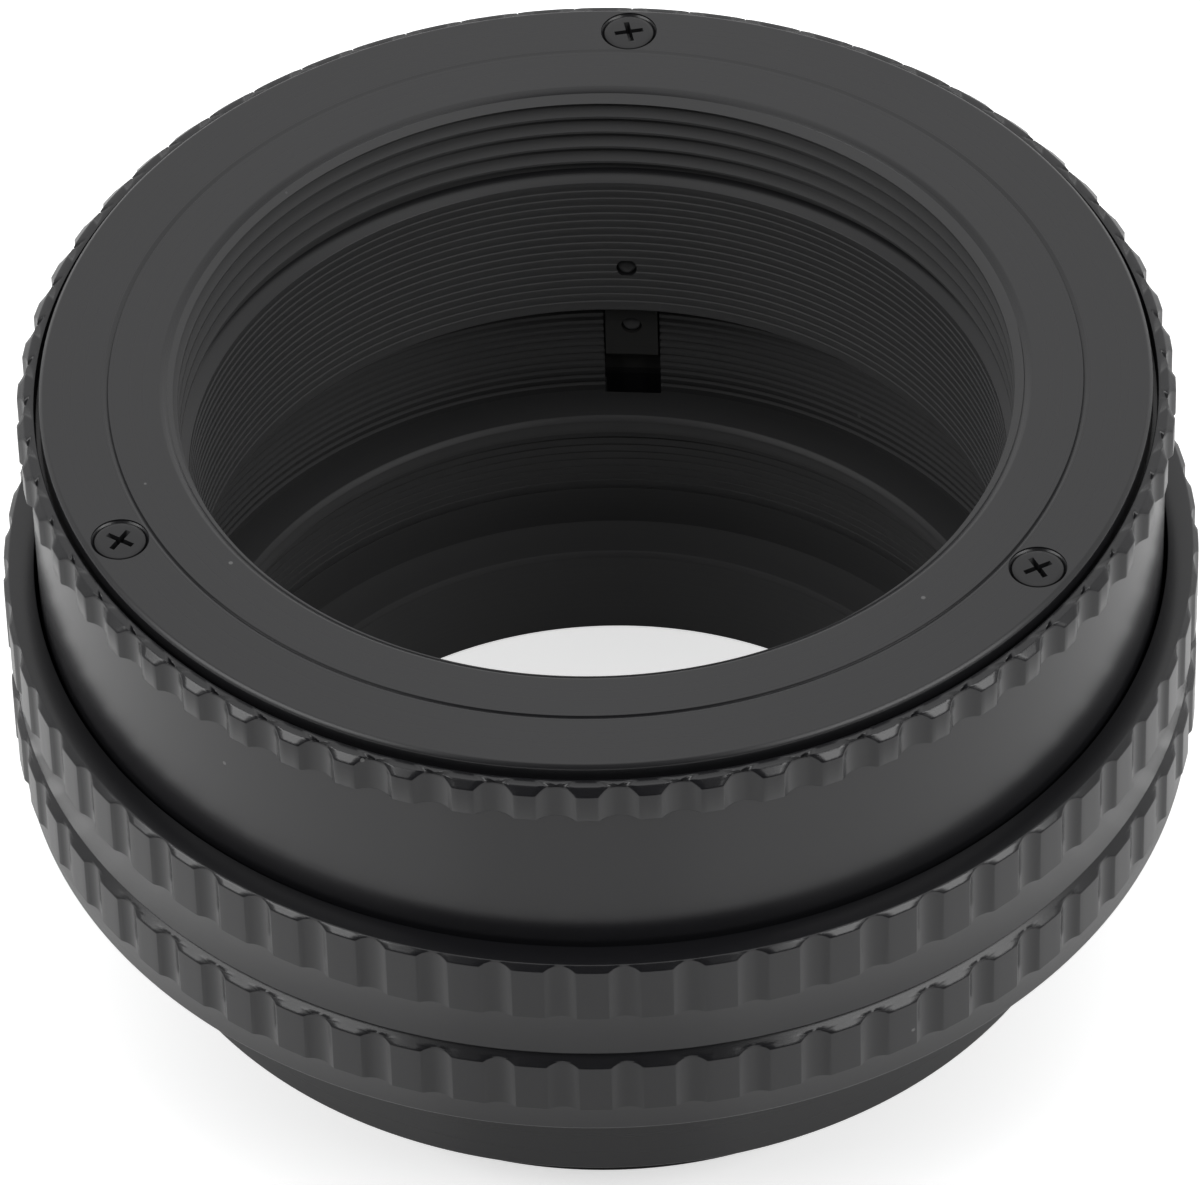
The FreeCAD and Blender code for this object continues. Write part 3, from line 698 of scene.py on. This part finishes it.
def keyways():
    """Cutters for the two keyways, which go down behind the guide sleeve's lip."""
    bm = bmesh.new()
    low = Vector((-SLOT_HALF_WIDTH, KEYWAY_FLOOR, KEYWAY_BOTTOM)) * MM
    high = Vector((SLOT_HALF_WIDTH, SLEEVE_OUTER + CUT_CLEAR, LIP_TOP + CUT_CLEAR)) * MM
    for side in (1, -1):
        made = bmesh.ops.create_cube(bm, size=1)["verts"]
        bmesh.ops.scale(bm, verts=made, vec=high - low)
        middle = (low + high) / 2
        bmesh.ops.translate(bm, verts=made, vec=(middle.x, side * middle.y, middle.z))
    return bm


def make_guide_sleeve():
    """The guide sleeve's lower part, with its lip and the faint ribs below it."""
    bm = turned([
        corner(CUP_BORE, SLEEVE_SEAT),
        corner(SLEEVE_OUTER, SLEEVE_SEAT),
        corner(SLEEVE_OUTER, LIP_TOP),
        corner(TUBE_BORE + LIP_CHAMFER, LIP_TOP, LIP_EASE),
        corner(TUBE_BORE, LIP_TOP - LIP_CHAMFER, LIP_EASE),
        corner(TUBE_BORE, LIP_BOTTOM, LIP_EASE),
        corner(CUP_BORE, LIP_BOTTOM, LIP_EASE),
    ] + ribbed(CUP_BORE, LIP_BOTTOM - LIP_MARGIN, SLEEVE_SEAT + RIB_MARGIN, FAINT_RIB_DEPTH))
    # The whole lower sleeve takes the lighter bore black, painted light in its shaded bore
    sleeve = piece("guide_sleeve_turned", bm, "base", BORE_BLACK_PAINTED_LIGHT)
    add_boolean_cut(sleeve, keyways(), "sleeve_keyways")
    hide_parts("guide_sleeve")


def make_keyed_wall():
    """The guide sleeve's upper wall, in two halves between the keyways."""
    bm = bmesh.new()
    slot_angle = math.asin(SLOT_HALF_WIDTH / SLEEVE_BORE)
    for side in (0, 1):
        half = bmesh.new()
        half_section(half, [
            corner(SLEEVE_BORE, LIP_TOP - WALL_SINK, 0),
            corner(SLEEVE_OUTER, LIP_TOP - WALL_SINK, 0),
            corner(SLEEVE_OUTER, SLEEVE_TOP),
            corner(SLEEVE_BORE, SLEEVE_TOP),
        ] + ribbed(SLEEVE_BORE, SLEEVE_TOP - RIB_MARGIN, LIP_TOP + RIB_MARGIN, SLEEVE_RIB_DEPTH))
        bmesh.ops.contextual_create(half, geom=half.edges[:])
        spun(half, PLAIN_STEPS // 2, TURN / 4 + slot_angle + side * TURN / 2, TURN / 2 - 2 * slot_angle)
        cleaned(half)
        add_bmesh(bm, half)
    # The upper sleeve wall takes the lighter bore black, painted light in its shaded bore
    wall = piece("guide_sleeve_wall", bm, "base", BORE_BLACK_PAINTED_LIGHT)
    hole = drill(STOP_HOLE_RADIUS, SLEEVE_BORE - CUT_CLEAR, SLEEVE_OUTER + CUT_CLEAR, STOP_SCREW, (1, 0, 0))
    add_boolean_cut(wall, hole, "stop_screw_hole")


def make_base_cup():
    """The neck, the rear flange and the cup's floor in one piece, with the male rear thread."""
    root = THREAD_MAJOR - REAR_THREAD_DEPTH
    bm = turned([
        corner(REAR_BORE, REAR_EDGE, BROAD_EASE),
        corner(root - REAR_LEAD_WIDTH, REAR_EDGE, BROAD_EASE),
        corner(root, REAR_EDGE + REAR_LEAD_HEIGHT, ROOT_EASE),
        corner(root, FLANGE, ROOT_EASE),
        corner(NECK_OUTER - NECK_CHAMFER, FLANGE),
        corner(NECK_OUTER, FLANGE + NECK_CHAMFER),
        corner(NECK_OUTER, NECK_TOP, BROAD_EASE),
        corner(NECK_BORE, NECK_TOP),
        corner(NECK_BORE, SLEEVE_SEAT),
        corner(CUP_BORE, SLEEVE_SEAT),
        corner(CUP_BORE, FLOOR_TOP, CUP_CORNER_EASE),
        corner(REAR_BORE + REAR_BORE_CHAMFER, FLOOR_TOP),
        corner(REAR_BORE, FLOOR_TOP - REAR_BORE_CHAMFER),
    ])
    cup = piece("base_cup_turned", bm, "base", SATIN_BLACK)
    # The cup's inside is painted a lighter black, as painted light in its shaded corner
    paint_bore_light(cup, CUP_BORE + BROAD_EASE, REAR_EDGE, SLEEVE_SEAT, CUP_BLACK_PAINTED_LIGHT)
    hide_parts("base_cup")
    thread = helical_thread(root, THREAD_MAJOR, REAR_THREAD_LOW, FLANGE - REAR_THREAD_GAP)
    piece("rear_thread_ridge", thread, "base", SATIN_BLACK)


def cross_recess(bm, place):
    """A tapered cross, as a cross-point driver leaves it, sunk from a screw's top."""
    cross = bmesh.new()
    bmesh.ops.create_grid(cross, x_segments=3, y_segments=3, size=1)
    between_lines = 0.5
    middles = [(face, face.calc_center_median()) for face in cross.faces]
    corners = [face for face, middle in middles if min(abs(middle.x), abs(middle.y)) > between_lines]
    bmesh.ops.delete(cross, geom=corners, context="FACES")
    for v in cross.verts:
        v.co.x = math.copysign(CROSS_ARM if abs(v.co.x) > between_lines else CROSS_HALF_WIDTH, v.co.x) * MM
        v.co.y = math.copysign(CROSS_ARM if abs(v.co.y) > between_lines else CROSS_HALF_WIDTH, v.co.y) * MM
        v.co.z = CROSS_PAST * MM
    made = bmesh.ops.extrude_face_region(cross, geom=cross.faces[:])
    floor = [v for v in made["geom"] if isinstance(v, bmesh.types.BMVert)]
    bmesh.ops.translate(cross, verts=floor, vec=(0, 0, -(CROSS_DEPTH + CROSS_PAST) * MM))
    bmesh.ops.scale(cross, verts=floor, vec=(CROSS_TAPER, CROSS_TAPER, 1))
    bmesh.ops.transform(cross, matrix=place, verts=cross.verts[:])
    cleaned(cross)
    add_bmesh(bm, cross)


def cross_head_screws(name, circle, top, end, turns, body):
    """Black countersunk screws with a cross recess, from the middle of the head to the shank's end."""
    inward = math.copysign(1, end - top)
    bm = at_screws([(HEAD_RADIUS - inset, top + inward * depth) for inset, depth in HEAD_RIM] + [
        (SHANK_RADIUS, top + inward * (HEAD_EDGE + HEAD_RADIUS - SHANK_RADIUS)),
        (SHANK_RADIUS, end),
    ], circle)
    screws = piece(name + "_cross_head", bm, body, BLACK_STEEL)
    recess = bmesh.new()
    flip = Matrix.Rotation(0 if inward < 0 else math.pi, 4, "X")
    for k, turn in enumerate(turns):
        spot = screw_spot(k, circle) + Vector((0, 0, top * MM))
        turned_cross = flip @ Matrix.Rotation(math.radians(turn), 4, "Z")
        cross_recess(recess, Matrix.Translation(spot) @ turned_cross)
    add_boolean_cut(screws, recess, name + "_recess")
    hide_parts(name)


def make_key_screws():
    """Headless screws with domed tips: one through the tube's wall and one in the tail of each key."""
    bm = bmesh.new()
    for height, inner_wall in ((KEY_SCREW_HIGH, TUBE_BORE), (KEY_SCREW_LOW, TUBE_OUTER)):
        tip = inner_wall + KEY_SCREW_TIP
        points = [(KEY_SCREW_RADIUS - inset, tip + along) for inset, along in KEY_SCREW_DOME]
        points.append((KEY_SCREW_RADIUS, KEY_SCREW_HEAD))
        for axis in ((0, 1, 0), (0, -1, 0)):
            add_bmesh(bm, spun_solid(points, Vector((0, 0, height * MM)), axis))
    screws = piece("key_screws_domed", bm, "front", BLACK_STEEL)
    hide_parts("key_screws")


make_front_mount()
make_front_thread()
make_front_barrel()
make_focus_grip()
make_guide_sleeve()
make_keyed_wall()
make_base_cup()
cross_head_screws("plate_screws", PLATE_SCREW_CIRCLE, FACE - HEAD_DROP, PLATE_SCREW_END,
                  PLATE_CROSS_TURNS, "front")
cross_head_screws("grip_screws", GRIP_SCREW_CIRCLE, GRIP_BOTTOM + HEAD_DROP, GRIP_SCREW_END,
                  GRIP_CROSS_TURNS, "focus")
make_key_screws()

# Nodes that no piece replaces keep their solids' shapes
NODE_FINISHES = {
    "helicoid_sleeve": DARK_BRASS,
    "retaining_ring": DARK_BRASS,
    "lower_slip_washer": SLIP_PLASTIC,
    "upper_slip_washer": SLIP_PLASTIC,
    "guide_key_back": DARK_BRASS,
    "guide_key_front": DARK_BRASS,
    "focus_stop_screw": BLACK_STEEL,
}
for node, material in NODE_FINISHES.items():
    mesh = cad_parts[node].data
    mesh.materials.clear()
    mesh.materials.append(material)


# Stage, light and camera

LENS_HEADING = math.radians(-85.0)
LENS_ELEVATION = math.radians(42.75)

# Strengths of the tent's light, the heights where its roof begins and is full, and its opening's angles
TENT_FRONT = 0.0
TENT_BACK = 1.1
TENT_ROOF = 0.7
ROOF_START = 0.72
ROOF_FULL = 0.95
OPENING_EDGE = math.radians(32)
OPENING_MIDDLE = math.radians(14)
OPENING_LIGHT = 0.08

# The floor in metres, its glow, and the headings between which the mirrored glow rises
FLOOR_HALF_WIDTH = 3.0
FLOOR_DROP = 0.00005
FLOOR_COLOUR = (0.88, 0.88, 0.88, 1)
FLOOR_GLOW = 0.6
FLOOR_GLOW_BESIDE = 0.13
BESIDE_START = -0.985
BESIDE_FULL = -0.92

# The soft box on the right, in metres and watts
BOX_AIM = (0, 0, 0.018)
BOX_PLACE = (0.53, -0.264, 0.468)
BOX_ALONG = (0.607, 0.738, -0.293)
BOX_SIZE = (0.56, 0.2)
BOX_POWER = 1.6


def lens_side():
    """The direction from the object to the lens that took the photo."""
    flat = math.cos(LENS_ELEVATION)
    x = math.cos(LENS_HEADING) * flat
    y = math.sin(LENS_HEADING) * flat
    return Vector((x, y, math.sin(LENS_ELEVATION)))


def pale_floor():
    """A matt floor that the camera sees as white; metal mirrors its glow, but not from straight in front."""
    bm = bmesh.new()
    bmesh.ops.create_grid(bm, x_segments=1, y_segments=1, size=FLOOR_HALF_WIDTH)
    mesh = bpy.data.meshes.new("pale_floor")
    bm.to_mesh(mesh)
    bm.free()
    material = bpy.data.materials.new("pale_floor")
    material.use_nodes = True
    nodes, links = material.node_tree.nodes, material.node_tree.links
    nodes.clear()
    out = nodes.new("ShaderNodeOutputMaterial")
    matt = nodes.new("ShaderNodeBsdfDiffuse")
    matt.inputs["Color"].default_value = FLOOR_COLOUR
    glow = nodes.new("ShaderNodeEmission")
    place = nodes.new("ShaderNodeTexCoord")
    outward = nodes.new("ShaderNodeVectorMath")
    outward.operation = "NORMALIZE"
    heading = nodes.new("ShaderNodeSeparateXYZ")
    beside = nodes.new("ShaderNodeMapRange")
    beside.interpolation_type = "SMOOTHSTEP"
    beside.inputs["From Min"].default_value = BESIDE_START
    beside.inputs["From Max"].default_value = BESIDE_FULL
    beside.inputs["To Min"].default_value = 0.0
    beside.inputs["To Max"].default_value = FLOOR_GLOW_BESIDE
    seen = nodes.new("ShaderNodeLightPath")
    mirrored = nodes.new("ShaderNodeMath")
    mirrored.operation = "MULTIPLY"
    direct = nodes.new("ShaderNodeMath")
    direct.operation = "MULTIPLY"
    direct.inputs[1].default_value = FLOOR_GLOW
    strength = nodes.new("ShaderNodeMath")
    strength.operation = "ADD"
    both = nodes.new("ShaderNodeAddShader")
    links.new(place.outputs["Object"], outward.inputs[0])
    links.new(outward.outputs["Vector"], heading.inputs[0])
    links.new(heading.outputs["Y"], beside.inputs["Value"])
    links.new(seen.outputs["Is Glossy Ray"], mirrored.inputs[0])
    links.new(beside.outputs["Result"], mirrored.inputs[1])
    links.new(seen.outputs["Is Camera Ray"], direct.inputs[0])
    links.new(mirrored.outputs[0], strength.inputs[0])
    links.new(direct.outputs[0], strength.inputs[1])
    links.new(strength.outputs[0], glow.inputs["Strength"])
    links.new(matt.outputs[0], both.inputs[0])
    links.new(glow.outputs[0], both.inputs[1])
    links.new(both.outputs[0], out.inputs["Surface"])
    mesh.materials.append(material)
    floor = bpy.data.objects.new("pale_floor", mesh)
    floor.location.z = -FLOOR_DROP
    bpy.context.scene.collection.objects.link(floor)


def studio_world():
    """A white tent round the object, with a dark opening where the lens looks in."""
    world = bpy.data.worlds.new("white_tent")
    bpy.context.scene.world = world
    world.use_nodes = True
    nodes, links = world.node_tree.nodes, world.node_tree.links
    background = nodes["Background"]
    background.inputs["Color"].default_value = (1, 1, 1, 1)
    place = nodes.new("ShaderNodeTexCoord")
    towards = nodes.new("ShaderNodeVectorMath")
    towards.operation = "DOT_PRODUCT"
    towards.inputs[1].default_value = lens_side()
    opening = nodes.new("ShaderNodeMapRange")
    opening.interpolation_type = "SMOOTHSTEP"
    opening.inputs["From Min"].default_value = math.cos(OPENING_EDGE)
    opening.inputs["From Max"].default_value = math.cos(OPENING_MIDDLE)
    opening.inputs["To Min"].default_value = 1.0
    opening.inputs["To Max"].default_value = OPENING_LIGHT
    side = nodes.new("ShaderNodeSeparateXYZ")
    wall = nodes.new("ShaderNodeMapRange")
    wall.inputs["From Min"].default_value = -1.0
    wall.inputs["From Max"].default_value = 1.0
    wall.inputs["To Min"].default_value = TENT_FRONT
    wall.inputs["To Max"].default_value = TENT_BACK
    roof = nodes.new("ShaderNodeMapRange")
    roof.interpolation_type = "SMOOTHSTEP"
    roof.inputs["From Min"].default_value = ROOF_START
    roof.inputs["From Max"].default_value = ROOF_FULL
    roof.inputs["To Min"].default_value = 0.0
    roof.inputs["To Max"].default_value = TENT_ROOF
    tent = nodes.new("ShaderNodeMath")
    tent.operation = "ADD"
    shaded = nodes.new("ShaderNodeMath")
    shaded.operation = "MULTIPLY"
    seen = nodes.new("ShaderNodeLightPath")
    level = nodes.new("ShaderNodeMath")
    level.operation = "MAXIMUM"
    links.new(place.outputs["Generated"], towards.inputs[0])
    links.new(towards.outputs["Value"], opening.inputs["Value"])
    links.new(place.outputs["Generated"], side.inputs[0])
    links.new(side.outputs["Y"], wall.inputs["Value"])
    links.new(opening.outputs["Result"], shaded.inputs[0])
    links.new(side.outputs["Z"], roof.inputs["Value"])
    links.new(wall.outputs["Result"], tent.inputs[0])
    links.new(roof.outputs["Result"], tent.inputs[1])
    links.new(tent.outputs[0], shaded.inputs[1])
    links.new(shaded.outputs[0], level.inputs[0])
    links.new(seen.outputs["Is Camera Ray"], level.inputs[1])
    links.new(level.outputs[0], background.inputs["Strength"])


def soft_box(name, side):
    """A long soft box that faces the object from its right side, 1, or its left side, -1."""
    light = bpy.data.lights.new(name, "AREA")
    light.shape = "RECTANGLE"
    light.size, light.size_y = BOX_SIZE
    light.energy = BOX_POWER
    mirrored = Vector((side, 1, 1))
    place = Vector(BOX_PLACE) * mirrored
    back = (place - Vector(BOX_AIM)).normalized()
    across = back.cross(Vector(BOX_ALONG) * mirrored).normalized()
    length = across.cross(back)
    lamp = bpy.data.objects.new(name, light)
    lamp.matrix_world = Matrix.Translation(place) @ Matrix((length, across, back)).transposed().to_4x4()
    bpy.context.scene.collection.objects.link(lamp)


def photo_camera():
    """The camera that the photo was taken with, fitted from the turned edges."""
    roll = math.radians(1.739)
    distance = 0.5087
    aim_right = 0.00023
    aim_up = -0.01077
    lens_pixels = 10374
    image_width = 1200
    sensor = 36.0
    back = lens_side()
    level = Vector((0, 0, 1)).cross(back).normalized()
    up = back.cross(level)
    right_rolled = level * math.cos(roll) - up * math.sin(roll)
    up_rolled = level * math.sin(roll) + up * math.cos(roll)
    top = Vector((0, 0, FACE * MM))
    place = top + back * distance
    target = top + right_rolled * aim_right + up_rolled * aim_up
    look = (place - target).normalized()
    side = up_rolled.cross(look).normalized()
    upright = look.cross(side)
    data = bpy.data.cameras.new("photo_camera")
    data.sensor_width = sensor
    data.lens = lens_pixels / image_width * sensor
    data.clip_start = 0.01
    data.clip_end = 20
    camera = bpy.data.objects.new("photo_camera", data)
    camera.matrix_world = Matrix((
        (side.x, upright.x, look.x, place.x),
        (side.y, upright.y, look.y, place.y),
        (side.z, upright.z, look.z, place.z),
        (0, 0, 0, 1)))
    bpy.context.scene.collection.objects.link(camera)
    bpy.context.scene.camera = camera


pale_floor()
studio_world()
soft_box("left_box", -1)
soft_box("right_box", 1)
photo_camera()

bpy.context.scene.view_settings.view_transform = "Standard"
